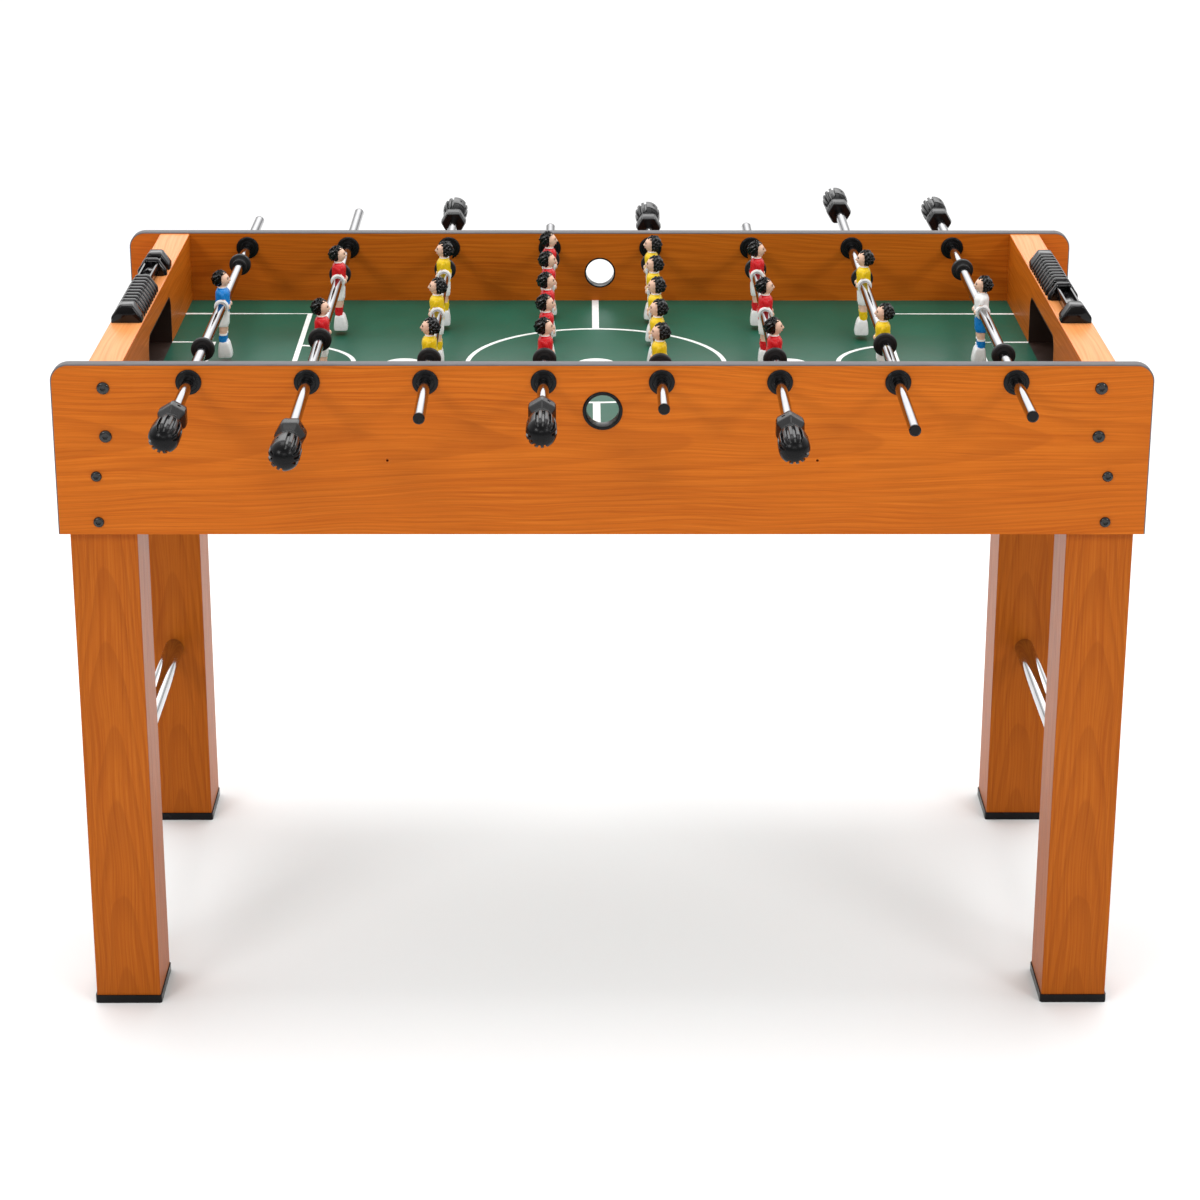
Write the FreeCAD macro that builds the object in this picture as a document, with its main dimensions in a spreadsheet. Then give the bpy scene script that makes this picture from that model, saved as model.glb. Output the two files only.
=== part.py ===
"""Foosball table, 48-inch class: cabinet, legs, eight playing rods and two score counters.

Frame: millimetres, +Z up, +X along the length, origin on the floor under the middle of the cabinet.
The -Y side is the front.  Team A (rods 1, 2, 4, 6) kicks towards +X and has its handles at the front;
team B (rods 3, 5, 7, 8) kicks towards -X and has its handles at the back.
"""
import FreeCAD, Part
import Sketcher
import os
import re

from FreeCAD import Rotation, Vector

doc = FreeCAD.newDocument("foosball_table")

# ---------------------------------------------------------------- driving dimensions

DIMENSIONS = {
    # cabinet
    "cabinet_length": (1210, "outside length of the side panels, edge strip included"),
    "cabinet_width": (610, "outside width over the side panels"),
    "cabinet_top": (790, "height of the top edge of the side panels"),
    "panel_drop": (197, "height of a side panel"),
    "panel_thick": (15, "thickness of the side panels"),
    "panel_corner": (20, "radius of the side panels' upper corners"),
    "strip_thick": (1.5, "thickness of the edge strip"),
    "end_inner": (527, "middle of the cabinet to the inner face of an end board"),
    "end_thick": (38, "thickness of the end boards"),
    "end_below": (2, "top of an end board below the top of the side panels"),
    "apron_thick": (15, "thickness of the aprons under the end boards"),
    "board_edge": (1.2, "rounding of the end boards' long edges"),
    # playing field and goals
    "field_height": (700, "height of the playing surface"),
    "field_thick": (9, "thickness of the playing field board"),
    "goal_width": (188, "clear width of a goal"),
    "goal_high": (59, "clear height of a goal above the playing surface"),
    "goal_corner": (15, "radius of a goal's upper corners"),
    "goal_wall": (2, "wall of the box that lines a goal"),
    # legs
    "leg_long": (75, "leg section along X"),
    "leg_deep": (80, "leg section along Y"),
    "leg_outer": (595, "middle of the cabinet to the outer face of a leg"),
    "leg_edge": (1.5, "rounding of a leg's upright edges"),
    "cap_high": (10, "height of a foot cap"),
    "cap_proud": (1.5, "how far a foot cap stands out round its leg"),
    "cap_base": (3, "thickness of a foot cap's base"),
    "stretcher_dia": (25, "stretcher tube diameter"),
    "stretcher_wall": (1.2, "stretcher tube wall"),
    "stretcher_at": (560, "middle of the cabinet to a stretcher's axis"),
    "stretcher_high": (248, "height of a stretcher's axis"),
    "stretcher_seat": (10, "how deep a stretcher sits in a leg"),
    # pilot holes and bolts
    "pilot_at": (237.5, "middle of the cabinet to a pilot hole in the front panel"),
    "pilot_high": (679.5, "height of a pilot hole's axis"),
    "pilot_dia": (3, "pilot hole diameter"),
    "pilot_deep": (6, "pilot hole depth"),
    "bolt_shank": (6, "bolt shank diameter"),
    "bolt_reach": (50, "bolt length below its head"),
    "bolt_head": (3, "bolt head height"),
    "bolt_socket": (2, "depth of the socket in a bolt head"),
    # ball entry
    "entry_high": (737, "height of a ball-entry hole's axis"),
    "entry_bore": (36, "inside diameter of a ball-entry ring"),
    "entry_sleeve": (40, "hole in the panel for a ball-entry ring"),
    "entry_flange": (44, "outside diameter of a ball-entry ring"),
    "entry_lip": (2, "how far a ball-entry ring's flange stands out"),
    # rods
    "rod_spacing": (129.5, "distance between two rods"),
    "rod_height": (770, "height of the rods' axes"),
    "rod_dia": (12.7, "rod tube diameter"),
    "rod_wall": (1.4, "rod tube wall"),
    "rod_play": (0.08, "radial clearance of a rod in what slides or turns on it"),
    "bearing_barrel": (20, "hole in the panel for a rod bearing"),
    "bearing_flange": (28.5, "outside diameter of a rod bearing"),
    "bearing_lip": (3, "how far a rod bearing stands out of the panel"),
    "cap_dome": (4, "length of a rod end cap outside the tube"),
    "cap_plug": (12, "length of a rod end cap inside the tube"),
    # rubber bumpers
    "bumper_dia": (27, "bumper disc diameter"),
    "bumper_hub_dia": (18, "bumper hub diameter"),
    "bumper_disc": (8, "length of a bumper's disc"),
    "bumper_hub": (8, "length of a bumper's hub"),
    "bumper_gap": (0.5, "gap between a bumper and the player beside it"),
    # handles
    "grip_length": (98, "length of a handle"),
    "grip_collar": (36, "length of a handle's six-sided collar"),
    "grip_mouth": (15.5, "corner radius of the collar where the rod enters"),
    "grip_hex": (17, "corner radius of the collar where it is widest"),
    "grip_neck": (11.5, "radius of a handle's neck"),
    "grip_ball": (16.4, "radius of a handle's rounded end"),
    "grip_bore_deep": (80, "how far a rod reaches into its handle"),
    # players
    "player_wide": (23, "width of a player along its rod"),
    "player_head": (42, "top of a player's head above the rod's axis"),
    "player_foot": (64, "sole of a player's foot below the rod's axis"),
    "player_boss": (20, "diameter of a player's boss round the rod"),
    "player_neck": (9, "diameter of a player's neck"),
    "head_half_high": (10.5, "half the height of a player's head"),
    "head_half_deep": (9.5, "half the depth of a player's head, nose to nape"),
    "head_half_wide": (8, "half the width of a player's head"),
    # score counters
    "score_wide": (35.5, "width of a score bead"),
    "score_high": (21, "height of a score counter"),
    "score_flat": (15, "width of a score counter's flat top"),
    "score_skirt": (6.3, "height of a score counter's upright sides"),
    "score_half": (131, "half the length of a score counter"),
    "score_block": (23, "length of a score rail's end block"),
    "score_bead": (13.3, "length of a score bead"),
    "score_pitch": (13.4, "distance between two score beads side by side"),
    "score_play": (0.4, "gap between a score bead and what it slides on"),
    "score_apart_left": (79, "middle of the left counter to the near face of its moved bead"),
    "score_apart_right": (20, "middle of the right counter to the near face of its moved bead"),
}

# Rods from left to right: team, number of players, and how far each rod is slid along Y at rest.
RODS = [("A", 1, 14), ("A", 2, 10), ("B", 3, -19), ("A", 5, 6),
        ("B", 5, -15), ("A", 3, -18), ("B", 2, -10), ("B", 1, -10)]

# By number of players: distance between players, middle to the handle's collar, middle to the tube's
# other end, and middle to a bumper where the bumpers stand apart from the players.
ROD_KINDS = {
    1: {"apart": 0, "collar": 434, "tail": 418, "bumper": 178},
    2: {"apart": 246, "collar": 487, "tail": 466, "bumper": None},
    3: {"apart": 175, "collar": 437, "tail": 416, "bumper": None},
    5: {"apart": 100, "collar": 408, "tail": 387, "bumper": None},
}
BEADS_IN_STACK = 9

sheet = doc.addObject("Spreadsheet::Sheet", "Dims")
for row, (alias, (number, meaning)) in enumerate(DIMENSIONS.items(), start=1):
    sheet.set(f"A{row}", meaning)
    sheet.set(f"B{row}", str(number))
    sheet.setAlias(f"B{row}", alias)
doc.recompute()

nodes = {}  # node name: the object that stands for it
SIDES = {"front": -1, "back": 1}
ENDS = {"left": -1, "right": 1}


def dim(alias):
    """A driving dimension's value, for the few places that need a plain number."""
    return float(sheet.get(alias))


# ---------------------------------------------------------------- building helpers

def bind(piece, prop, formula):
    """Bind a property to a formula written with the sheet's aliases."""
    piece.setExpression(prop, re.sub(r"[a-z][a-z_]+", lambda word: "Dims." + word.group(), str(formula)))


def put(piece, centre, rotation=None):
    """Place an object at a point given as three formulas."""
    if rotation:
        piece.Placement = FreeCAD.Placement(Vector(), rotation)
    for axis, formula in zip("xyz", centre):
        bind(piece, f"Placement.Base.{axis}", formula)
    return piece


def block(name, size, centre):
    """A box of the given size about the given centre."""
    piece = doc.addObject("Part::Box", name)
    for prop, formula in zip(("Length", "Width", "Height"), size):
        bind(piece, prop, formula)
    return put(piece, [f"({c}) - ({s}) / 2" for c, s in zip(centre, size)])


def round_bar(name, diameter, length, centre, axis="Y"):
    """A cylinder along an axis, about the given centre."""
    piece = doc.addObject("Part::Cylinder", name)
    bind(piece, "Radius", f"({diameter}) / 2")
    bind(piece, "Height", length)
    turn = {"X": Rotation(Vector(0, 1, 0), 90), "Y": Rotation(Vector(1, 0, 0), -90), "Z": Rotation()}
    start = list(centre)
    start["XYZ".index(axis)] = f"({start['XYZ'.index(axis)]}) - ({length}) / 2"
    return put(piece, start, turn[axis])


def group(name, pieces):
    """Several separate solids kept together."""
    piece = doc.addObject("Part::Compound", name)
    piece.Links = pieces
    return piece


def fuse(name, pieces):
    piece = doc.addObject("Part::MultiFuse", name)
    piece.Shapes = pieces
    piece.Refine = True
    return piece


def cut(name, base, tools):
    piece = doc.addObject("Part::Cut", name)
    piece.Base = base
    piece.Tool = tools[0] if len(tools) == 1 else group(name + "_tools", tools)
    return piece


def copy_of(name, source, at, rotation=None):
    """Another copy of a finished piece, at a place of its own."""
    return put(group(name, [source]), at, rotation)


def rounded(name, base, radius, wanted):
    """Round the straight edges of a shape for which wanted(edge direction, edge middle) is true."""
    doc.recompute()
    chosen = []
    for number, edge in enumerate(base.Shape.Edges, start=1):
        if isinstance(edge.Curve, Part.Line):
            direction = (edge.Vertexes[1].Point - edge.Vertexes[0].Point).normalize()
            if wanted(direction, edge.CenterOfMass):
                chosen.append((number, radius, radius))
    piece = doc.addObject("Part::Fillet", name)
    piece.Base = base
    piece.Edges = chosen
    return piece


def turned(name, outline):
    """A body of revolution about its own Y axis, from an outline of (radius, length along Y) formulas."""
    body = doc.addObject("PartDesign::Body", name)
    sketch = body.newObject("Sketcher::SketchObject", name + "_outline")
    plane = next(f for f in body.Origin.OriginFeatures if f.Role == "XY_Plane")
    sketch.AttachmentSupport = [(plane, "")]
    sketch.MapMode = "FlatFace"
    count = len(outline)
    # rough positions first; the bound constraints then pull each corner to its own place
    rough = [Vector(10 + i % 2, 10 * i + 1, 0) for i in range(count)]
    for i in range(count):
        sketch.addGeometry(Part.LineSegment(rough[i], rough[(i + 1) % count]), False)
    for i in range(count):
        sketch.addConstraint(Sketcher.Constraint("Coincident", i, 2, (i + 1) % count, 1))
    for i, (radius, along) in enumerate(outline):
        for kind, formula in (("DistanceX", radius), ("DistanceY", along)):
            if str(formula) == "0":
                on_axis = -2 if kind == "DistanceX" else -1
                sketch.addConstraint(Sketcher.Constraint("PointOnObject", i, 1, on_axis))
                continue
            number = sketch.addConstraint(Sketcher.Constraint(kind, -1, 1, i, 1, 10.0 + i))
            label = f"{'radius' if kind == 'DistanceX' else 'along'}_{i}"
            sketch.renameConstraint(number, label)
            bind(sketch, f"Constraints.{label}", formula)
    doc.recompute()
    revolution = body.newObject("PartDesign::Revolution", name + "_turn")
    revolution.Profile = sketch
    revolution.ReferenceAxis = (sketch, ["V_Axis"])
    revolution.Angle = 360
    doc.recompute()
    return body


def node(name, piece):
    """Give a finished piece its node name."""
    piece.Label = name
    nodes[name] = piece
    return piece


# ---------------------------------------------------------------- side panels and their fittings

PANEL_MID = "(cabinet_width - panel_thick) / 2"  # middle of the cabinet to the middle of a side panel
INNER_Y = "(cabinet_width / 2 - panel_thick)"  # middle of the cabinet to a side panel's inner face
END_MID = "(end_inner + end_thick / 2)"
LEG_MID_X = "(leg_outer - leg_long / 2)"
FIELD_BELOW = "(field_height - field_thick)"  # underside of the field board, top of the legs
UPPER_BOLTS = {"x": "547", "heights": ("707.5", "763"), "head": "14"}  # into the end boards
LOWER_BOLTS = {"x": "559.5", "heights": ("607.5", "661"), "head": "12"}  # into the legs


def rod_x(number):
    """The place of a rod's axis along the cabinet, for rods 1 to 8."""
    return f"({number} - 4.5) * rod_spacing"


def bolt_places():
    """(name, x, height, head diameter) of the bolts in one side panel."""
    for kind in (UPPER_BOLTS, LOWER_BOLTS):
        for end, sign in ENDS.items():
            for height in kind["heights"]:
                yield f"{end}_{height[:3]}", f"{sign} * {kind['x']}", height, kind["head"]


def bolt_hole_tools(side, sign, kind):
    """Shank-sized cutters from outside a side panel to the bolts' tips."""
    tools = []
    for end, x, height, head in bolt_places():
        if kind in ("all", head):
            centre = (x, f"{sign} * (cabinet_width / 2 - bolt_reach / 2)", height)
            tools.append(round_bar(f"bolt_hole_{side}_{end}_{kind}", "bolt_shank", "bolt_reach", centre))
    return tools


def rounded_slab(name, inset, y):
    """A side panel's outline, drawn in from the full outline by inset, with rounded upper corners."""
    size = (f"cabinet_length - 2 * ({inset})", "panel_thick", f"panel_drop - ({inset})")
    slab = block(name, size, ("0", y, f"cabinet_top - panel_drop / 2 - ({inset}) / 2"))
    middle = dim("cabinet_top") - dim("panel_drop") / 2

    def upper_corner(direction, centre):
        return abs(direction.y) > 0.99 and centre.z > middle

    radius = dim("panel_corner") - (dim("strip_thick") if inset != "0" else 0)
    return rounded(name + "_rounded", slab, radius, upper_corner)


def side_panel(side, sign):
    y = f"{sign} * {PANEL_MID}"
    slab = rounded_slab(f"panel_{side}", "strip_thick", y)
    holes = [round_bar(f"rod_hole_{side}_{n}", "bearing_barrel", "panel_thick + 2",
                       (rod_x(n), y, "rod_height")) for n in range(1, 9)]
    holes.append(round_bar(f"entry_hole_{side}", "entry_sleeve", "panel_thick + 2", ("0", y, "entry_high")))
    holes += bolt_hole_tools(side, sign, "all")
    if side == "front":
        for end, out in ENDS.items():  # for the field board's screws
            holes.append(round_bar(f"pilot_{end}", "pilot_dia", "2 * pilot_deep",
                                   (f"{out} * pilot_at", "-cabinet_width / 2", "pilot_high")))
    return node(f"side_panel_{side}", cut(f"side_panel_{side}_shape", slab, holes))


def edge_strip(side, sign):
    """The soft strip over the top and down both ends of a side panel."""
    y = f"{sign} * {PANEL_MID}"
    outer = rounded_slab(f"strip_{side}", "0", y)
    return cut(f"edge_strip_{side}", outer, [rounded_slab(f"strip_{side}_core", "strip_thick", y)])


def bearing(side, sign, number):
    """A rod bearing: a barrel through the panel with a flange on each face."""
    centre = (rod_x(number), f"{sign} * {PANEL_MID}", "rod_height")
    name = f"bearing_{side}_{number}"
    barrel = round_bar(name + "_barrel", "bearing_barrel", "panel_thick", centre)
    flanges = []
    for face, out in (("inside", -1), ("outside", 1)):
        y = f"{sign} * ({PANEL_MID} + {out} * (panel_thick + bearing_lip) / 2)"
        flanges.append(round_bar(f"{name}_{face}", "bearing_flange", "bearing_lip", (centre[0], y, centre[2])))
    bore = round_bar(name + "_bore", "rod_dia + 2 * rod_play", "panel_thick + 2 * bearing_lip + 2", centre)
    return cut(name, fuse(name + "_body", [barrel] + flanges), [bore])


def entry_ring(side, sign):
    """A ball-entry ring: a sleeve through the panel, with a flange outside."""
    y = f"{sign} * {PANEL_MID}"
    name = f"entry_ring_{side}"
    sleeve = round_bar(name + "_sleeve", "entry_sleeve", "panel_thick", ("0", y, "entry_high"))
    flange = round_bar(name + "_flange", "entry_flange", "entry_lip",
                       ("0", f"{sign} * (cabinet_width / 2 + entry_lip / 2)", "entry_high"))
    bore = round_bar(name + "_bore", "entry_bore", "panel_thick + 4 * entry_lip", ("0", y, "entry_high"))
    return cut(name, fuse(name + "_body", [sleeve, flange]), [bore])


def bolt(side, sign, end, x, height, head):
    """A bolt with a round socket head outside the panel."""
    name = f"bolt_{side}_{end}"
    shank = round_bar(name + "_shank", "bolt_shank", "bolt_reach",
                      (x, f"{sign} * (cabinet_width / 2 - bolt_reach / 2)", height))
    top = round_bar(name + "_top", head, "bolt_head",
                    (x, f"{sign} * (cabinet_width / 2 + bolt_head / 2)", height))
    socket = doc.addObject("Part::Prism", name + "_socket")
    socket.Polygon = 6
    bind(socket, "Circumradius", "bolt_shank / 2")
    bind(socket, "Height", "2 * bolt_socket")
    y = f"{sign} * (cabinet_width / 2 + bolt_head) - bolt_socket"
    put(socket, (x, y, height), Rotation(Vector(1, 0, 0), -90))
    return cut(name, fuse(name + "_body", [shank, top]), [socket])


for side, sign in SIDES.items():
    side_panel(side, sign)
node("edge_trims", group("edge_strips", [edge_strip(side, sign) for side, sign in SIDES.items()]))
node("rod_bearings", group("bearings", [bearing(side, sign, number) for side, sign in SIDES.items()
                                        for number in range(1, 9)]))
node("ball_entry_rings", group("entry_rings", [entry_ring(side, sign) for side, sign in SIDES.items()]))
node("bolts", group("bolt_set", [bolt(side, sign, *place) for side, sign in SIDES.items()
                                 for place in bolt_places()]))


# ---------------------------------------------------------------- end boards, field and goals

def goal_void(name, sign, wall, along):
    """A goal's outline with rounded upper corners, drawn outwards by wall.

    along: its length along X, and how far its middle lies from the end board's towards the field.
    """
    length, inwards = along
    low = f"(field_height - {wall})"
    high = f"(goal_high + 2 * {wall})"
    void = block(name, (length, f"goal_width + 2 * {wall}", high),
                 (f"{sign} * ({END_MID} - {inwards})", "0", f"{low} + {high} / 2"))
    extra = 0 if wall == "0" else dim(wall)
    top = dim("field_height") + dim("goal_high") + extra

    def upper_corner(direction, centre):
        return abs(direction.x) > 0.99 and abs(centre.z - top) < 0.1

    return rounded(name + "_rounded", void, dim("goal_corner") + extra, upper_corner)


def end_board(end, sign):
    """An end board standing on the legs, with a goal opening and blind holes for the upper bolts."""
    x = f"{sign} * {END_MID}"
    height = f"(cabinet_top - end_below - {FIELD_BELOW})"
    board = block(f"end_{end}", ("end_thick", f"2 * {INNER_Y}", height),
                  (x, "0", f"{FIELD_BELOW} + {height} / 2"))
    top = dim("cabinet_top") - dim("end_below")

    def upper_edge(direction, centre):
        return abs(direction.y) > 0.99 and abs(centre.z - top) < 0.1

    board = rounded(f"end_{end}_edged", board, dim("board_edge"), upper_edge)
    opening = goal_void(f"goal_{end}", sign, "goal_wall", ("end_thick + 20", "0"))
    holes = []
    for side, out in SIDES.items():
        for height in UPPER_BOLTS["heights"]:
            centre = (f"{sign} * {UPPER_BOLTS['x']}", f"{out} * (cabinet_width / 2 - bolt_reach / 2)", height)
            holes.append(round_bar(f"end_hole_{end}_{side}_{height[:3]}", "bolt_shank", "bolt_reach", centre))
    return node(f"end_board_{end}", cut(f"end_board_{end}_shape", board, [opening] + holes))


def end_apron(end, sign):
    """The board between a pair of legs, under an end board."""
    height = f"({FIELD_BELOW} - cabinet_top + panel_drop)"
    width = f"2 * ({INNER_Y} - leg_deep)"
    return block(f"apron_{end}", ("apron_thick", width, height),
                 (f"{sign} * {END_MID}", "0", f"{FIELD_BELOW} - {height} / 2"))


def goal_box(end, sign):
    """The box that lines a goal opening: closed at the back, open towards the field."""
    outer = goal_void(f"goal_box_{end}_outer", sign, "goal_wall", ("end_thick", "0"))
    inner = goal_void(f"goal_box_{end}_inner", sign, "0", ("end_thick", "goal_wall"))
    return cut(f"goal_box_{end}", outer, [inner])


for end, sign in ENDS.items():
    end_board(end, sign)
node("end_aprons", group("aprons", [end_apron(end, sign) for end, sign in ENDS.items()]))
node("goal_boxes", group("goal_box_pair", [goal_box(end, sign) for end, sign in ENDS.items()]))
node("playfield", block("field_board", ("2 * end_inner", f"2 * {INNER_Y}", "field_thick"),
                        ("0", "0", "field_height - field_thick / 2")))


# ---------------------------------------------------------------- legs

def leg(end, end_sign, side, side_sign):
    """A square leg with blind holes for its two bolts and a seat for its stretcher."""
    x = f"{end_sign} * {LEG_MID_X}"
    y = f"{side_sign} * ({INNER_Y} - leg_deep / 2)"
    height = f"({FIELD_BELOW} - cap_base)"
    post = block(f"leg_{end}_{side}_post", ("leg_long", "leg_deep", height), (x, y, f"cap_base + {height} / 2"))
    post = rounded(f"leg_{end}_{side}_edged", post, dim("leg_edge"), lambda along, _: abs(along.z) > 0.99)
    holes = []
    for bolt_height in LOWER_BOLTS["heights"]:
        centre = (f"{end_sign} * {LOWER_BOLTS['x']}", f"{side_sign} * (cabinet_width / 2 - bolt_reach / 2)",
                  bolt_height)
        holes.append(round_bar(f"leg_hole_{end}_{side}_{bolt_height[:3]}", "bolt_shank", "bolt_reach", centre))
    seat = (f"{end_sign} * stretcher_at", f"{side_sign} * ({INNER_Y} - leg_deep)", "stretcher_high")
    holes.append(round_bar(f"seat_{end}_{side}", "stretcher_dia", "2 * stretcher_seat", seat))
    return cut(f"leg_{end}_{side}", post, holes)


def foot_cap(end, end_sign, side, side_sign):
    """A plastic shoe round the bottom of a leg."""
    x = f"{end_sign} * {LEG_MID_X}"
    y = f"{side_sign} * ({INNER_Y} - leg_deep / 2)"
    name = f"foot_cap_{end}_{side}"
    outer = block(name + "_outer", ("leg_long + 2 * cap_proud", "leg_deep + 2 * cap_proud", "cap_high"),
                  (x, y, "cap_high / 2"))
    outer = rounded(name + "_edged", outer, dim("leg_edge") + dim("cap_proud"),
                    lambda along, _: abs(along.z) > 0.99)
    pocket = block(name + "_inner", ("leg_long", "leg_deep", "cap_high"), (x, y, "cap_base + cap_high / 2"))
    pocket = rounded(name + "_pocket", pocket, dim("leg_edge"), lambda along, _: abs(along.z) > 0.99)
    return cut(name, outer, [pocket])


def stretcher(end, sign):
    """The tube between a front leg and a back leg."""
    centre = (f"{sign} * stretcher_at", "0", "stretcher_high")
    length = f"2 * ({INNER_Y} - leg_deep + stretcher_seat)"
    outer = round_bar(f"stretcher_{end}_outer", "stretcher_dia", length, centre)
    inner = round_bar(f"stretcher_{end}_inner", "stretcher_dia - 2 * stretcher_wall", length, centre)
    return cut(f"stretcher_{end}", outer, [inner])


for end, sign in ENDS.items():
    node(f"legs_{end}", group(f"leg_pair_{end}", [leg(end, sign, *side) for side in SIDES.items()]))
node("foot_caps", group("foot_cap_set", [foot_cap(*end, *side) for end in ENDS.items()
                                         for side in SIDES.items()]))
node("stretchers", group("stretcher_pair", [stretcher(end, sign) for end, sign in ENDS.items()]))


# ---------------------------------------------------------------- score counters

RAIL_STEM, RAIL_HEAD = "12", "17.5"  # widths of the T-section rail
STEM_HIGH, HEAD_HIGH = "9", "8"
BOARD_TOP = "(cabinet_top - end_below)"


def counter_section(name, length, y):
    """A length of the counters' six-sided outline, at X = 0, standing on the end board's top."""
    outline = doc.addObject("Part::Wedge", name)
    for prop, formula in {
        "Xmin": "0", "Ymin": "0", "Zmin": "0", "Xmax": "score_wide",
        "Ymax": "score_high - score_skirt", "Zmax": length, "X2min": "(score_wide - score_flat) / 2",
        "X2max": "(score_wide + score_flat) / 2", "Z2min": "0", "Z2max": length,
    }.items():
        bind(outline, prop, formula)
    upright = Rotation(Vector(1, 0, 0), 90)  # the wedge's own Y becomes height, its Z runs to -Y
    put(outline, ("-score_wide / 2", f"({y}) + ({length}) / 2", f"{BOARD_TOP} + score_skirt"), upright)
    base = block(name + "_base", ("score_wide", length, "score_skirt"),
                 ("0", y, f"{BOARD_TOP} + score_skirt / 2"))
    return [outline, base]


def rail_section(name, play, length, y):
    """The T-section rail, or with play the slot in a bead that rides on it."""
    stem_high = f"({STEM_HIGH} - {play})"
    head_high = f"({HEAD_HIGH} + 2 * {play})"
    stem = block(name + "_stem", (f"{RAIL_STEM} + 2 * {play}", length, stem_high),
                 ("0", y, f"{BOARD_TOP} + {stem_high} / 2"))
    head = block(name + "_head", (f"{RAIL_HEAD} + 2 * {play}", length, head_high),
                 ("0", y, f"{BOARD_TOP} + {stem_high} + {head_high} / 2"))
    return fuse(name, [stem, head])


def score_bead(name, y):
    """A bead about the given place along the rail, just clear of the board it hangs over."""
    body = fuse(name + "_body", counter_section(name + "_outline", "score_bead", y))
    slot = rail_section(name + "_slot", "score_play", "score_bead + 2", y)
    relief = block(name + "_relief", ("score_wide + 2", "score_bead + 2", "score_play"),
                   ("0", y, f"{BOARD_TOP} + score_play / 2"))
    return cut(name, body, [slot, relief])


def rail(name):
    """A score rail with its two end blocks."""
    pieces = [rail_section(name + "_rail", "0", "2 * score_half - 2 * score_block", "0")]
    for number, sign in enumerate((-1, 1)):
        pieces += counter_section(f"{name}_block_{number}", "score_block",
                                  f"{sign} * (score_half - score_block / 2)")
    return fuse(name, pieces)


rail_master = rail("score_rail")
stack_master = group("score_stack", [
    score_bead(f"stack_bead_{n}", f"-score_half + score_block + ({n} + 0.5) * score_pitch")
    for n in range(BEADS_IN_STACK)])
half_turn = Rotation(Vector(0, 0, 1), 180)
rails = []
for end, sign in ENDS.items():
    turn = half_turn if sign > 0 else Rotation()
    place = (f"{sign} * {END_MID}", "0", "0")
    rails.append(copy_of(f"rail_{end}", rail_master, place, turn))
    node(f"score_stack_{end}", copy_of(f"score_stack_{end}_copy", stack_master, place, turn))
    single = score_bead(f"single_bead_{end}", f"score_apart_{end} + score_bead / 2")
    node(f"score_bead_{end}", copy_of(f"score_bead_{end}_copy", single, place, turn))
node("score_rails", group("rail_pair", rails))


# ---------------------------------------------------------------- players, bumpers and handles

# A player's blocks: (size, middle, radius of its rounded edges, which edges are rounded).
# Sizes and middles are along X, Y and Z from the rod's axis, with the player facing +X.
ROUND_CROSSWISE, ROUND_UPRIGHT, ROUND_ALL = "crosswise", "upright", "all"
PLAYER_BLOCKS = {
    "chest": (("16", "player_wide - 3", "23"), ("0.5", "0", "9.5"), 5, ROUND_CROSSWISE),
    "hips": (("15", "player_wide - 5", "26"), ("0", "0", "-17"), 4, ROUND_UPRIGHT),
    "shins": (("11", "player_wide - 9", "24"), ("0", "0", "-40"), 3, ROUND_UPRIGHT),
    "foot": (("17", "player_wide - 3", "17"), ("1.5", "0", "8.5 - player_foot"), 2, ROUND_ALL),
}


def player():
    """A player on its rod: axis at the origin along Y, facing +X."""
    pieces = [round_bar("player_hub", "player_boss", "player_wide", ("0", "0", "0")),
              round_bar("player_neck_bar", "player_neck", "8", ("0.5", "0", "23"), "Z")]
    for name, (size, middle, rounding, which) in PLAYER_BLOCKS.items():
        def chosen(along, _, which=which):
            return {ROUND_CROSSWISE: abs(along.y) < 0.99, ROUND_UPRIGHT: abs(along.z) > 0.99,
                    ROUND_ALL: True}[which]

        pieces.append(rounded(f"player_{name}_round", block(f"player_{name}_block", size, middle),
                              rounding, chosen))
    head = doc.addObject("Part::Ellipsoid", "player_head_shape")
    for prop, half in (("Radius1", "head_half_high"), ("Radius2", "head_half_deep"),
                       ("Radius3", "head_half_wide")):
        bind(head, prop, half)
    pieces.append(put(head, ("0.5", "0", "player_head - head_half_high")))
    bore = round_bar("player_bore", "rod_dia", "player_wide + 4", ("0", "0", "0"))
    return cut("player", fuse("player_body", pieces), [bore])


def grip():
    """A handle along +Y from the origin: a six-sided collar, ribs and a rounded end, bored for its rod."""
    rings = []
    for y, radius in (("0", "grip_mouth"), ("grip_collar / 4", "grip_hex"), ("grip_collar * 0.6", "grip_hex"),
                      ("grip_collar", "grip_neck")):
        ring = doc.addObject("Part::RegularPolygon", "collar_ring")
        ring.Polygon = 6
        bind(ring, "Circumradius", radius)
        rings.append(put(ring, ("0", y, "0"), Rotation(Vector(1, 0, 0), -90)))
    collar = doc.addObject("Part::Loft", "grip_collar_shape")
    collar.Sections = rings
    collar.Solid = True
    collar.Ruled = True
    handle_body = turned("grip_turned", [
        ("0", "grip_collar - 4"), ("grip_neck", "grip_collar - 4"), ("grip_neck", "grip_collar + 4"),
        ("grip_ball * 0.86", "grip_collar + 14"), ("grip_ball * 0.98", "grip_collar + 24"),
        ("grip_ball", "grip_length - grip_ball"), ("grip_ball * 0.94", "grip_length - grip_ball * 0.66"),
        ("grip_ball * 0.75", "grip_length - grip_ball * 0.34"),
        ("grip_ball * 0.44", "grip_length - grip_ball * 0.1"), ("0", "grip_length")])
    body = fuse("grip_body", [collar, handle_body])
    bore = round_bar("grip_bore", "rod_dia", "2 * grip_bore_deep", ("0", "0", "0"))
    return cut("grip", body, [bore])


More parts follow.
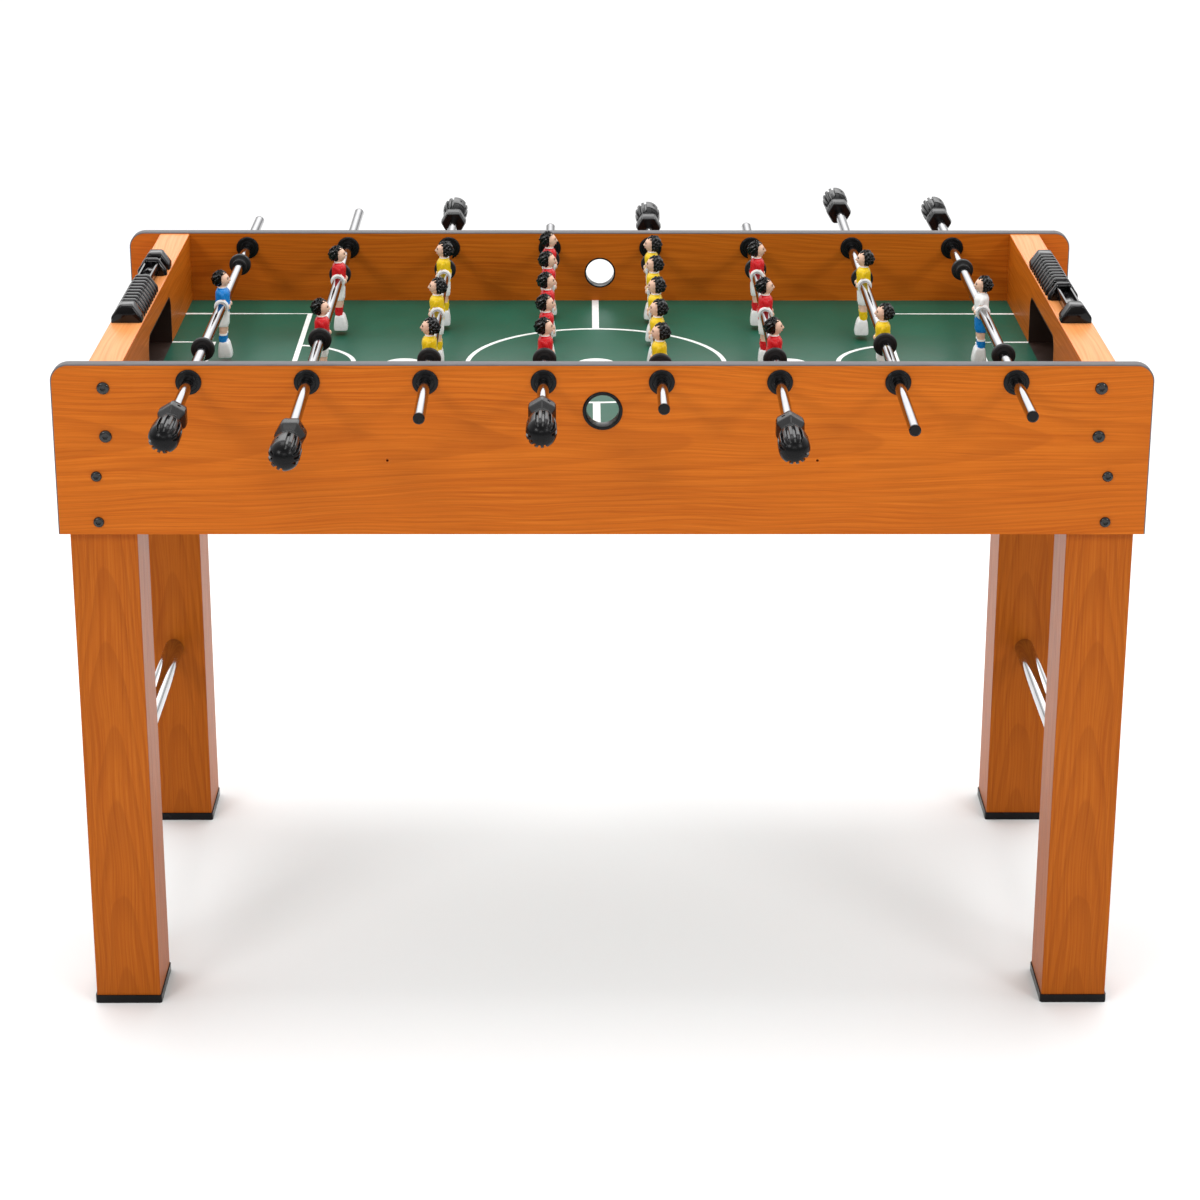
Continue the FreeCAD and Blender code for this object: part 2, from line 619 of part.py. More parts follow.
def bumper():
    """A rubber bumper along +Y from the origin: the hub first, then the disc."""
    return turned("bumper", [
        ("rod_dia / 2 + rod_play", "0"), ("bumper_hub_dia / 2", "0"), ("bumper_hub_dia / 2", "bumper_hub"),
        ("bumper_dia / 2", "bumper_hub"), ("bumper_dia / 2", "bumper_hub + bumper_disc"),
        ("rod_dia / 2 + rod_play", "bumper_hub + bumper_disc")])


def end_cap():
    """A rod end cap along +Y: the plug ends at the origin, where the rounded head begins."""
    return turned("end_cap", [
        ("0", "0 - cap_plug"), ("rod_dia / 2 - rod_wall", "0 - cap_plug"), ("rod_dia / 2 - rod_wall", "0"),
        ("rod_dia / 2", "0"), ("rod_dia / 2", "cap_dome - 1.5"), ("rod_dia / 2 - 1.5", "cap_dome"),
        ("0", "cap_dome")])


player_master, grip_master, bumper_master, cap_master = player(), grip(), bumper(), end_cap()
face_back, face_front = Rotation(), Rotation(Vector(0, 0, 1), 180)  # along +Y, along -Y


def rod(number, team, count, slid):
    """One playing rod with everything on it."""
    kind = ROD_KINDS[count]
    tail = 1 if team == "A" else -1  # which way the tube's free end points
    x = rod_x(number)
    start = f"{slid} - {tail} * ({kind['collar']})"
    length = f"({kind['collar']} + {kind['tail']} + grip_bore_deep)"
    middle = (x, f"{start} + {tail} * ({length} / 2 - grip_bore_deep)", "rod_height")
    outer = round_bar(f"rod_{number}_outer", "rod_dia", length, middle)
    inner = round_bar(f"rod_{number}_inner", "rod_dia - 2 * rod_wall", length, middle)
    node(f"rod_{number}_tube", cut(f"rod_{number}_tube_shape", outer, [inner]))

    along = face_back if tail > 0 else face_front
    against = face_front if tail > 0 else face_back
    node(f"rod_{number}_grip", copy_of(f"rod_{number}_handle", grip_master, (x, start, "rod_height"), against))
    tip = (x, f"{slid} + {tail} * {kind['tail']}", "rod_height")
    node(f"rod_{number}_end_cap", copy_of(f"rod_{number}_cap", cap_master, tip, along))

    players = []
    for place in range(count):
        y = f"{slid} + ({place} - {(count - 1) / 2}) * {kind['apart']}"
        facing = Rotation() if team == "A" else half_turn
        players.append(copy_of(f"rod_{number}_player_{place}", player_master, (x, y, "rod_height"), facing))
    node(f"rod_{number}_players", group(f"rod_{number}_team", players))

    reach = kind["bumper"] or f"({kind['apart'] * (count - 1) / 2} + player_wide / 2 + bumper_gap)"
    bumpers = [copy_of(f"rod_{number}_bumper_{name}", bumper_master,
                       (x, f"{slid} + {sign} * {reach}", "rod_height"), turn)
               for name, sign, turn in (("back", 1, face_back), ("front", -1, face_front))]
    node(f"rod_{number}_bumpers", group(f"rod_{number}_bumper_pair", bumpers))


for number, (team, count, slid) in enumerate(RODS, start=1):
    rod(number, team, count, slid)


# ---------------------------------------------------------------- check and write

doc.recompute()
for item in doc.Objects:
    if "Invalid" in item.State or "Error" in item.State:
        raise SystemExit(f"{item.Name} failed: {item.State}")
os.makedirs("parts", exist_ok=True)
for name, piece in nodes.items():
    shape = piece.Shape
    if shape.isNull() or not shape.isValid() or not shape.Solids:
        raise SystemExit(f"{name} has no valid shape")
    solids = shape.Solids
    shape = solids[0] if len(solids) == 1 else Part.makeCompound(solids)
    shape.exportStep(f"parts/{name}.step")
print(len(nodes), "nodes,", sum(len(piece.Shape.Solids) for piece in nodes.values()), "solids")
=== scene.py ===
"""Foosball table: the looks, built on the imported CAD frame.

Metres and +Z up, in the frame of the part.  Shapes are written in millimetres and scaled by MM.
"""
import math

import bpy
import bmesh
from mathutils import Matrix, Vector


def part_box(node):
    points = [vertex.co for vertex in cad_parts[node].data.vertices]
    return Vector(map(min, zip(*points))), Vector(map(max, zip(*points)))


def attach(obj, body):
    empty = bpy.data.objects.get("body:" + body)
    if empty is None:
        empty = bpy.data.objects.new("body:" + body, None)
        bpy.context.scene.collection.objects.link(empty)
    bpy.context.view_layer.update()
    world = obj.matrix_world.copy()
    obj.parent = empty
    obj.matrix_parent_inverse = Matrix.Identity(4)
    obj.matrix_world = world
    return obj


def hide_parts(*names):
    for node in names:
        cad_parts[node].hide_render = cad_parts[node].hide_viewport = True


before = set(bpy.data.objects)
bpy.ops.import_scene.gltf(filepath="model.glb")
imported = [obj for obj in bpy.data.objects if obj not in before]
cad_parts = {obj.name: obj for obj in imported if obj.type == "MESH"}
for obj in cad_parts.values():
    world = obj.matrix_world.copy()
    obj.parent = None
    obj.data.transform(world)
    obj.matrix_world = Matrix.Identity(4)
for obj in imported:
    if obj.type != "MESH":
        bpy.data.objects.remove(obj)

MM = 0.001
HALF_TURN = math.pi
ROD_SPACING, RODS = 0.1295, 8
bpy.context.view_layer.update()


# ---------------------------------------------------------------- places read from the frame

def node_box(name):
    """A CAD node's lowest and highest corner, in metres."""
    low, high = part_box(name)
    return Vector(low), Vector(high)


def node_middle(name):
    low, high = node_box(name)
    return (low + high) / 2


# ---------------------------------------------------------------- materials

class Shade:
    """One material, with short calls for the few kinds of node used here."""

    def __init__(self, name, colour=(0.5, 0.5, 0.5), **sockets):
        self.material = bpy.data.materials.new(name)
        self.material.use_nodes = True
        self.material.diffuse_color = (*colour, 1)
        self.tree = self.material.node_tree
        self.shader = self.tree.nodes["Principled BSDF"]
        self.shader.inputs["Base Color"].default_value = (*colour, 1)
        for socket, value in sockets.items():
            self.shader.inputs[socket.replace("_", " ")].default_value = value

    def add(self, kind, inputs, **settings):
        """A node with its inputs linked or set."""
        node = self.tree.nodes.new("ShaderNode" + kind)
        for key, value in settings.items():
            setattr(node, key, value)
        for key, value in inputs.items():
            if isinstance(value, bpy.types.NodeSocket):
                self.tree.links.new(value, node.inputs[key])
            else:
                node.inputs[key].default_value = value
        return node

    def math(self, operation, *values):
        return self.add("Math", dict(enumerate(values)), operation=operation).outputs[0]

    def position(self):
        return self.add("TexCoord", {}).outputs["Object"]

    def split(self, vector):
        return self.add("SeparateXYZ", {0: vector}).outputs[:3]

    def join(self, x, y, z):
        return self.add("CombineXYZ", {0: x, 1: y, 2: z}).outputs[0]

    def noise(self, vector, scale=1.0, detail=3.0, roughness=0.5, distortion=0.0):
        inputs = {"Vector": vector, "Scale": scale, "Detail": detail, "Roughness": roughness,
                  "Distortion": distortion}
        return self.add("TexNoise", inputs).outputs[0]

    def spread(self, value, low, high, to_low=0.0, to_high=1.0):
        """A value carried from one range to another, without going past its ends."""
        inputs = {0: value, 1: low, 2: high, 3: to_low, 4: to_high}
        return self.add("MapRange", inputs, interpolation_type="SMOOTHSTEP").outputs[0]

    def ramp(self, value, *stops):
        """A colour for a value, from (place, colour) stops."""
        node = self.add("ValToRGB", {0: value})
        steps = node.color_ramp.elements
        while len(steps) < len(stops):
            steps.new(0.5)
        for step, (place, colour) in zip(steps, stops):
            step.position = place
            step.color = (*colour, 1)
        return node.outputs[0]

    def blend(self, amount, first, second, how="MIX"):
        node = self.add("Mix", {}, data_type="RGBA", blend_type=how)
        for key, value in ((0, amount), (6, first), (7, second)):
            if isinstance(value, bpy.types.NodeSocket):
                self.tree.links.new(value, node.inputs[key])
            else:
                node.inputs[key].default_value = value if key == 0 else (*value, 1)
        return node.outputs[2]

    def use(self, socket, value):
        self.tree.links.new(value, self.shader.inputs[socket])

    def bump(self, height, strength, distance):
        inputs = {"Height": height, "Strength": strength, "Distance": distance}
        self.use("Normal", self.add("Bump", inputs).outputs[0])


def wood_laminate(name, along, centres, light, middle, dark, rings=1.0, top_sheen=None):
    """Printed wood-grain laminate with the grain along one axis.

    Each face shows cathedral arches about the board's centre line, long fibres and short pores.
    centres: where the middle of the arches lies on each axis, in metres.
    top_sheen: the paler tone of the faces that look up, if they have one; a painted sheen that stands in for
    the reflection on a top.
    """
    shade = Shade(name, middle, Roughness=0.36, Specular_IOR_Level=0.11)
    place = shade.split(shade.position())
    facing = shade.split(shade.add("NewGeometry", {}).outputs["Normal"])
    grain = place["XYZ".index(along)]
    first, second = [i for i in range(3) if "XYZ"[i] != along]
    sides = {i: shade.math("SUBTRACT", shade.math("ABSOLUTE", place[i]), centres[i]) for i in (first, second)}
    # on a face that looks along one of the two cross axes, the arches open along the other
    weight_first = shade.math("GREATER_THAN", shade.math("ABSOLUTE", facing[second]), 0.5)
    weight_second = shade.math("SUBTRACT", 1.0, weight_first)
    across = shade.math("ADD", shade.math("MULTIPLY", sides[first], weight_first),
                        shade.math("MULTIPLY", sides[second], weight_second))

    wander = shade.noise(shade.join(shade.math("MULTIPLY", grain, 2.2), shade.math("MULTIPLY", across, 9.0),
                                    3.0), 1.0, 2.0)
    lean = shade.math("MULTIPLY", shade.math("SUBTRACT", wander, 0.5), 0.055)
    bent = shade.math("ADD", across, lean)
    arch = shade.math("MULTIPLY", shade.math("MULTIPLY", bent, bent), 1500.0 * rings)
    arch = shade.math("ADD", arch, shade.math("MULTIPLY", grain, 7.0 * rings))
    arch = shade.math("ADD", arch, shade.math("MULTIPLY", wander, 3.0))
    ring = shade.math("FRACT", arch)
    ring_line = shade.math("MULTIPLY", shade.spread(ring, 0.35, 0.92), shade.spread(ring, 1.0, 0.93))

    fibre_place = shade.join(shade.math("MULTIPLY", grain, 5.0), shade.math("MULTIPLY", bent, 430.0), 0.0)
    fibre = shade.noise(fibre_place, 1.0, 5.0, 0.6)
    fine_place = shade.join(shade.math("MULTIPLY", grain, 26.0), shade.math("MULTIPLY", bent, 1300.0), 4.0)
    pore = shade.spread(shade.noise(fine_place, 1.0, 2.0, 0.5), 0.60, 0.72)
    patch = shade.noise(shade.join(shade.math("MULTIPLY", grain, 1.6), shade.math("MULTIPLY", across, 7.0),
                                   9.0), 1.0, 2.0)

    colour = shade.ramp(fibre, (0.28, dark), (0.5, middle), (0.72, light))
    colour = shade.blend(shade.math("MULTIPLY", ring_line, 0.36), colour, tuple(c * 0.85 for c in dark))
    colour = shade.blend(shade.math("MULTIPLY", pore, 0.34), colour, tuple(c * 0.6 for c in dark))
    tone = shade.ramp(patch, (0.3, (0.93, 0.90, 0.88)), (0.7, (1.05, 1.07, 1.08)))
    colour = shade.blend(1.0, colour, tone, "MULTIPLY")
    # painted sheen: faces that look up are mixed towards a paler tone, in place of the reflection that
    # brightens a top
    if top_sheen:
        upward = shade.math("GREATER_THAN", facing[2], 0.9)
        paler = shade.blend(shade.spread(fibre, 0.3, 0.7, 0.55, 0.90), colour, top_sheen)
        colour = shade.blend(upward, colour, paler)
    shade.use("Base Color", colour)
    shade.use("Roughness", shade.spread(fibre, 0.2, 0.8, 0.42, 0.31))
    height = shade.math("SUBTRACT", fibre, shade.math("MULTIPLY", pore, 1.5))
    shade.bump(height, 0.10, 0.0002)
    return shade.material


def moulded_plastic(name, colour, roughness=0.38, grain=1.0, lift=1.6, level=0.35):
    """Moulded plastic: fine texture, slow variation in tone, and paler scuffs."""
    shade = Shade(name, colour, Specular_IOR_Level=level)
    place = shade.position()
    fine = shade.noise(place, 1400.0 * grain, 3.0, 0.6)
    slow = shade.noise(place, 38.0, 3.0, 0.55)
    scuff = shade.spread(shade.noise(place, 260.0, 4.0, 0.7, 1.5), 0.62, 0.82)
    paler = tuple(min(1.0, c * lift + 0.004) for c in colour)
    base = shade.ramp(slow, (0.3, tuple(c * 0.85 for c in colour)), (0.75, tuple(c * 1.15 for c in colour)))
    shade.use("Base Color", shade.blend(shade.math("MULTIPLY", scuff, 0.30), base, paler))
    rough = shade.math("ADD", shade.spread(slow, 0.25, 0.75, roughness - 0.06, roughness + 0.06),
                       shade.math("MULTIPLY", scuff, 0.08))
    shade.use("Roughness", rough)
    shade.bump(fine, 0.12, 0.0001)
    return shade.material


def chrome(name, along, tint):
    """Chrome plate with faint drawing lines along the tube and a few dull patches."""
    shade = Shade(name, tint, Metallic=1.0)
    place = shade.split(shade.position())
    stretch = [900.0, 900.0, 900.0]
    stretch["XYZ".index(along)] = 6.0
    lines = shade.noise(shade.join(*[shade.math("MULTIPLY", p, k) for p, k in zip(place, stretch)]), 1.0, 3.0)
    cloud = shade.noise(shade.position(), 22.0, 3.0, 0.6)
    dull, bright = (tuple(c * k for c in tint) for k in (0.90, 1.08))
    tone = shade.ramp(cloud, (0.3, dull), (0.7, bright))
    shade.use("Base Color", tone)
    shade.use("Roughness", shade.math("ADD", shade.spread(lines, 0.3, 0.8, 0.06, 0.15),
                                      shade.spread(cloud, 0.55, 0.8, 0.0, 0.05)))
    shade.bump(lines, 0.03, 0.0001)
    return shade.material


def rubber(name, colour):
    """Soft black rubber with a dusty bloom."""
    shade = Shade(name, colour, Specular_IOR_Level=0.2)
    place = shade.position()
    bloom = shade.noise(place, 90.0, 4.0, 0.65)
    fine = shade.noise(place, 1500.0, 2.0)
    shade.use("Base Color", shade.ramp(bloom, (0.3, colour), (0.8, tuple(c * 2.0 + 0.003 for c in colour))))
    shade.use("Roughness", shade.spread(bloom, 0.3, 0.8, 0.40, 0.62))
    shade.bump(fine, 0.18, 0.0001)
    return shade.material


def field_print(name, green, deep):
    """The printed playing surface: dark green with a fine screen and slow cloudiness."""
    shade = Shade(name, green, Specular_IOR_Level=0.16)
    place = shade.position()
    cloud = shade.noise(place, 5.0, 4.0, 0.55)
    screen = shade.noise(place, 1100.0, 2.0, 0.5)
    base = shade.ramp(cloud, (0.3, deep), (0.7, green))
    speck = shade.ramp(screen, (0.35, (0.86, 0.88, 0.86)), (0.65, (1.1, 1.08, 1.1)))
    shade.use("Base Color", shade.blend(1.0, base, speck, "MULTIPLY"))
    shade.use("Roughness", shade.spread(cloud, 0.3, 0.7, 0.36, 0.46))
    shade.bump(screen, 0.05, 0.0001)
    return shade.material


def paint(name, colour, roughness=0.30, level=0.3, ripple=0.12, uneven=0.16):
    """Hand-painted gloss on moulded plastic: brush-thick tone, slight orange peel."""
    shade = Shade(name, colour, Specular_IOR_Level=level)
    place = shade.position()
    thick = shade.noise(place, 210.0, 3.0, 0.6)
    peel = shade.noise(place, 620.0, 2.0)
    low = tuple(c * (1 - uneven) for c in colour)
    high = tuple(min(1.0, c * (1 + uneven / 2) + 0.002) for c in colour)
    shade.use("Base Color", shade.ramp(thick, (0.28, low), (0.5, colour), (0.75, high)))
    shade.use("Roughness", shade.spread(thick, 0.3, 0.7, roughness - 0.05, roughness + 0.08))
    shade.bump(peel, ripple, 0.0003)
    return shade.material


ORANGE_TONES = ((0.60, 0.160, 0.012), (0.525, 0.125, 0.007), (0.42, 0.087, 0.004))  # light, middle, dark
# the legs' laminate is the panels' darkened to 0.76: painted shade, standing in for the lower light that
# reaches the legs
LEG_SHADED_TONES = [tuple(c * 0.76 for c in tone) for tone in ORANGE_TONES]
# the paler tone painted on the end boards' tops: a painted sheen, standing in for the reflection on them
END_TOP_SHEEN = (0.72, 0.30, 0.105)
MAT = {
    "panel": wood_laminate("panel_laminate", "X", (0.0, 0.0, 0.70), *ORANGE_TONES, rings=0.7),
    "end": wood_laminate("end_laminate", "Y", (0.546, 0.0, 0.74), *ORANGE_TONES, rings=0.8, top_sheen=END_TOP_SHEEN),
    "leg": wood_laminate("leg_laminate", "Z", (0.5575, 0.25, 0.0), *LEG_SHADED_TONES, rings=1.4),
    "strip": moulded_plastic("edge_strip_plastic", (0.115, 0.108, 0.112), 0.46, lift=1.1, level=0.12),
    "black": moulded_plastic("black_plastic", (0.006, 0.006, 0.0065), 0.24, level=0.16),
    "grip": moulded_plastic("grip_plastic", (0.0045, 0.0045, 0.005), 0.24, level=0.13),
    "bead": moulded_plastic("bead_plastic", (0.0045, 0.0045, 0.005), 0.10, level=0.30),
    "goal": moulded_plastic("goal_plastic", (0.030, 0.014, 0.009), 0.5),
    "bolt": moulded_plastic("bolt_black_oxide", (0.008, 0.008, 0.008), 0.24, level=0.5),
    # the rods' chrome is darkened to half the stretchers': painted shade, standing in for the darker
    # surroundings that the rods reflect
    "rod": chrome("rod_chrome", "Y", (0.25, 0.25, 0.26)),
    "tube": chrome("stretcher_chrome", "Y", (0.52, 0.52, 0.53)),
    "rubber": rubber("bumper_rubber", (0.007, 0.007, 0.0075)),
    "field": field_print("field_green", (0.009, 0.098, 0.058), (0.006, 0.074, 0.044)),
    "line": paint("field_line_white", (0.78, 0.80, 0.78), 0.40),
    "skin": paint("player_skin", (0.80, 0.52, 0.38), 0.32),
    "hair": paint("player_hair", (0.002, 0.002, 0.002), 0.09, 0.30, 0.5),
    "eye": paint("player_eye", (0.010, 0.009, 0.009), 0.25),
    "lip": paint("player_lip", (0.55, 0.14, 0.11), 0.3),
    "white": paint("player_white", (0.90, 0.90, 0.89), 0.26, uneven=0.05),
    "shoe": paint("player_foot_white", (0.86, 0.86, 0.86), 0.30, uneven=0.06),
    "red": paint("player_red_paint", (0.62, 0.012, 0.018), 0.28),
    "yellow": paint("player_yellow_paint", (0.83, 0.56, 0.010), 0.28),
    "blue": paint("player_blue_paint", (0.008, 0.205, 0.60), 0.26),
}


def dress(node, material):
    """Give a CAD node that stays visible its finished material."""
    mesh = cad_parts[node].data
    mesh.materials.clear()
    mesh.materials.append(MAT[material])


# ---------------------------------------------------------------- shapes

class Pile:
    """Closed shells collected into one mesh; points in millimetres."""

    def __init__(self):
        self.points, self.faces, self.inks = [], [], []

    def skin(self, rings, inks=0, loop=False, ends="fan"):
        """Faces over rings of equally many points.  inks: one material index, or one per band."""
        start, count, bands = len(self.points), len(rings[0]), len(rings) - (0 if loop else 1)
        for ring in rings:
            self.points += [Vector(p) for p in ring]
        for band in range(bands):
            low = start + band * count
            high = start + ((band + 1) % len(rings)) * count
            for k in range(count):
                after = (k + 1) % count
                self.faces.append((low + k, low + after, high + after, high + k))
                self.inks.append(inks if isinstance(inks, int) else inks[band])
        if loop:
            return
        for index in (0, len(rings) - 1):
            first = start + index * count
            ink = inks if isinstance(inks, int) else inks[0 if index == 0 else -1]
            if ends == "fan":
                centre = len(self.points)
                self.points.append(sum((Vector(p) for p in rings[index]), Vector()) / count)
                self.faces += [(first + k, first + (k + 1) % count, centre) for k in range(count)]
                self.inks += [ink] * count
            else:
                self.faces.append(tuple(range(first, first + count)))
                self.inks.append(ink)

    def lathe(self, profile, around=48, ink=0, loop=False, at=(0, 0, 0)):
        """Turned about Y from (radius, y) points."""
        turns = [2 * math.pi * k / around for k in range(around)]
        rings = [[Vector(at) + Vector((r * math.cos(a), y, r * math.sin(a))) for a in turns]
                 for r, y in profile]
        self.skin(rings, ink, loop)

    def blob(self, centre, radii, ink=0, shape=None, around=28, rings=18):
        """An ellipsoid about centre; shape(direction) may return an offset in millimetres."""
        layers = []
        for i in range(1, rings):
            polar = math.pi * i / rings
            layer = []
            for k in range(around):
                turn = 2 * math.pi * k / around
                way = Vector((math.sin(polar) * math.cos(turn), math.sin(polar) * math.sin(turn),
                              math.cos(polar)))
                point = Vector(centre) + Vector([w * r for w, r in zip(way, radii)])
                layer.append(point + (shape(way) if shape else Vector()))
            layers.append(layer)
        self.skin(layers, ink)

    def mesh(self, name, materials, sharp=38.0):
        """The finished mesh in metres, smooth but for edges sharper than the angle given."""
        data = bpy.data.meshes.new(name)
        data.from_pydata([p * MM for p in self.points], [], self.faces)
        for material in materials:
            data.materials.append(MAT[material])
        data.polygons.foreach_set("material_index", self.inks)
        work = bmesh.new()
        work.from_mesh(data)
        bmesh.ops.recalc_face_normals(work, faces=work.faces)
        work.to_mesh(data)
        work.free()
        data.shade_smooth()
        data.set_sharp_from_angle(angle=math.radians(sharp))
        return data


def piece(name, data, body, at=(0, 0, 0), turn=0.0, nodes=(), roll=0.0):
    """Put a mesh in the scene, rolled about its own Y and turned about Z, riding on a CAD body."""
    thing = bpy.data.objects.new(name, data)
    bpy.context.scene.collection.objects.link(thing)
    thing.matrix_world = (Matrix.Translation(Vector(at)) @ Matrix.Rotation(turn, 4, "Z")
                          @ Matrix.Rotation(roll, 4, "Y"))
    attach(thing, body)
    if nodes:
        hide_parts(*nodes)
    return thing


def softened(points, radius, steps=3, closed=False):
    """An outline with each corner rounded off."""
    points = [Vector(p) for p in points]
    count = len(points)
    result = []
    for i, corner in enumerate(points):
        if not closed and i in (0, count - 1):
            result.append(corner)
            continue
        before, after = points[i - 1] - corner, points[(i + 1) % count] - corner
        start = corner + before.normalized() * min(radius, before.length / 2.05)
        end = corner + after.normalized() * min(radius, after.length / 2.05)
        for k in range(steps + 1):
            t = k / steps
            result.append(start * (1 - t) ** 2 + corner * 2 * t * (1 - t) + end * t ** 2)
    return result


def ease(value, low, high):
    """Smooth step from 0 at low to 1 at high."""
    t = min(1.0, max(0.0, (value - low) / (high - low)))
    return t * t * (3 - 2 * t)


def bell(value, centre, width):
    return math.exp(-((value - centre) / width) ** 2)


def loose_parts(node):
    """The separate solids of a CAD node, as (lowest corner, highest corner) in metres, in a fixed order."""
    steps = 1e5  # to a metre: vertices that agree to a hundredth of a millimetre are one
    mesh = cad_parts[node].data
    keys = [tuple(round(c * steps) for c in vertex.co) for vertex in mesh.vertices]
    leader = {key: key for key in keys}

    def find(key):
        while leader[key] != key:
            leader[key] = leader[leader[key]]
            key = leader[key]
        return key

    for polygon in mesh.polygons:
        first = find(keys[polygon.vertices[0]])
        for index in polygon.vertices:
            leader[find(keys[index])] = first
    parts = {}
    for key in leader:
        parts.setdefault(find(key), []).append(key)
    boxes = []
    for points in parts.values():
        low = Vector([min(p[i] for p in points) / steps for i in range(3)])
        high = Vector([max(p[i] for p in points) / steps for i in range(3)])
        boxes.append((low, high))
    return sorted(boxes, key=lambda box: tuple(round(c, 4) for c in box[0]))


# ---------------------------------------------------------------- cabinet

for name in ("side_panel_front", "side_panel_back"):
    dress(name, "panel")
for name in ("end_board_left", "end_board_right", "end_aprons"):
    dress(name, "end")
for name in ("legs_left", "legs_right"):
    dress(name, "leg")
dress("playfield", "field")
dress("goal_boxes", "goal")
dress("foot_caps", "black")
dress("stretchers", "tube")


def edge_strip():
    """The soft strip round a side panel: a crowned band swept over its upright ends and its top."""
    low, high = (v / MM for v in loose_parts("edge_trims")[0])
    thick, radius, half = 1.5, 20.0, (high.y - low.y) / 2
    section = [(-half, 0.0), (-half, 0.7), (-half + 0.5, 1.2), (-half + 1.4, 1.45), (0.0, 1.5),
               (half - 1.4, 1.45), (half - 0.5, 1.2), (half, 0.7), (half, 0.0)]
    route = [((low.x, low.z), (-1.0, 0.0))]
    for corner, first in ((low.x + radius, 180), (high.x - radius, 90)):
        for k in range(13):
            turn = math.radians(first - 90 * k / 12)
            way = (math.cos(turn), math.sin(turn))
            route.append(((corner + radius * way[0], high.z - radius + radius * way[1]), way))
    route.append(((high.x, low.z), (1.0, 0.0)))
    pile = Pile()
    pile.skin([[(x + way[0] * (out - thick), side, z + way[1] * (out - thick)) for side, out in section]
               for (x, z), way in route], ends="face")
    return pile.mesh("edge_strip", ["strip"], 50)


strip_mesh = edge_strip()
for name, (low, high) in zip(("edge_strip_front", "edge_strip_back"), loose_parts("edge_trims")):
    piece(name, strip_mesh, "table", (0, (low.y + high.y) / 2, 0), nodes=["edge_trims"])


def bearing_mesh():
    """A rod bearing: flanges inside and outside the panel, each with a raised collar round the rod."""
    half, lip, barrel, flange, bore = 7.5, 3.0, 10.0, 14.25, 6.43
    face = half + lip
    outer = [(bore, face), (bore + 0.5, face), (8.5, face), (8.9, face - 0.3), (9.1, face - 1.3),
             (10.1, face - 1.3), (10.4, face - 0.5), (12.6, face - 0.35), (13.6, face - 0.75),
             (flange, face - 1.6), (flange, half + 0.05), (barrel, half + 0.05)]
    profile = outer + [(r, -y) for r, y in reversed(outer)]
    pile = Pile()
    pile.lathe(profile, 56, loop=True)
    return pile.mesh("bearing", ["black"], 32)


bearing_shape = bearing_mesh()
for low, high in loose_parts("rod_bearings"):
    middle = (low + high) / 2
    number = round(middle.x / ROD_SPACING + (RODS + 1) / 2)
    side = "front" if middle.y < 0 else "back"
    piece(f"bearing_{side}_{number}", bearing_shape, "table", middle, nodes=["rod_bearings"])


def entry_ring_mesh():
    """A ball-entry ring: a sleeve through the panel with a rolled flange at +Y."""
    sleeve, bore, flange, half, lip = 20.0, 18.0, 22.0, 7.5, 2.0
    profile = [(bore, -half), (bore, half + 0.3), (bore + 0.5, half + 1.4), (bore + 1.4, half + lip),
               (flange - 1.4, half + lip), (flange - 0.4, half + 1.3), (flange, half + 0.4),
               (flange, half + 0.02), (sleeve, half + 0.02), (sleeve, -half)]
    pile = Pile()
    pile.lathe(profile, 72, loop=True)
    return pile.mesh("entry_ring", ["black"], 40)


ring_shape = entry_ring_mesh()
for side, (low, high) in zip(("front", "back"), loose_parts("ball_entry_rings")):
    middle = (low + high) / 2
    panel_middle = node_middle(f"side_panel_{side}").y
    piece(f"ball_entry_ring_{side}", ring_shape, "table", (middle.x, panel_middle, middle.z),
          HALF_TURN if side == "front" else 0.0, nodes=["ball_entry_rings"])


def bolt_mesh(head):
    """A bolt along +Y: shank, low domed head and six-sided socket; the panel's face is at y = 0."""
    around, shank, reach, high = 48, 3.0, 50.0, 3.0
    turns = [2 * math.pi * k / around for k in range(around)]

    def ring(radius, y, six_sided=False):
        points = []
        for a in turns:
            r = radius
            if six_sided:
                r = radius * math.cos(math.pi / 6) / math.cos(a % (math.pi / 3) - math.pi / 6)
            points.append((r * math.cos(a), y, r * math.sin(a)))
        return points

    rings = [ring(shank, -reach), ring(shank, 0.02), ring(head - 0.2, 0.02), ring(head, 0.3),
             ring(head - 0.1, high * 0.45), ring(head - 0.7, high * 0.75), ring(head * 0.72, high * 0.96),
             ring(shank * 1.35, high), ring(shank * 1.08, high * 0.99, True), ring(shank, high * 0.93, True),
             ring(shank * 0.97, 1.0, True), ring(shank * 0.5, 0.6)]
    pile = Pile()
    pile.skin(rings)
    return pile.mesh("bolt", ["bolt"], 34)


bolt_shapes = {}
for low, high in loose_parts("bolts"):
    head = round((high.x - low.x) / MM) / 2
    if head not in bolt_shapes:
        bolt_shapes[head] = bolt_mesh(head)
    front = low.y < 0
    face = node_box("side_panel_front")[0].y if front else node_box("side_panel_back")[1].y
    middle = (low + high) / 2
    name = f"bolt_{'front' if front else 'back'}_{'left' if middle.x < 0 else 'right'}_{round(middle.z / MM)}"
    piece(name, bolt_shapes[head], "table", (middle.x, face, middle.z),
          HALF_TURN if front else 0.0, nodes=["bolts"])


# ---------------------------------------------------------------- printed lines

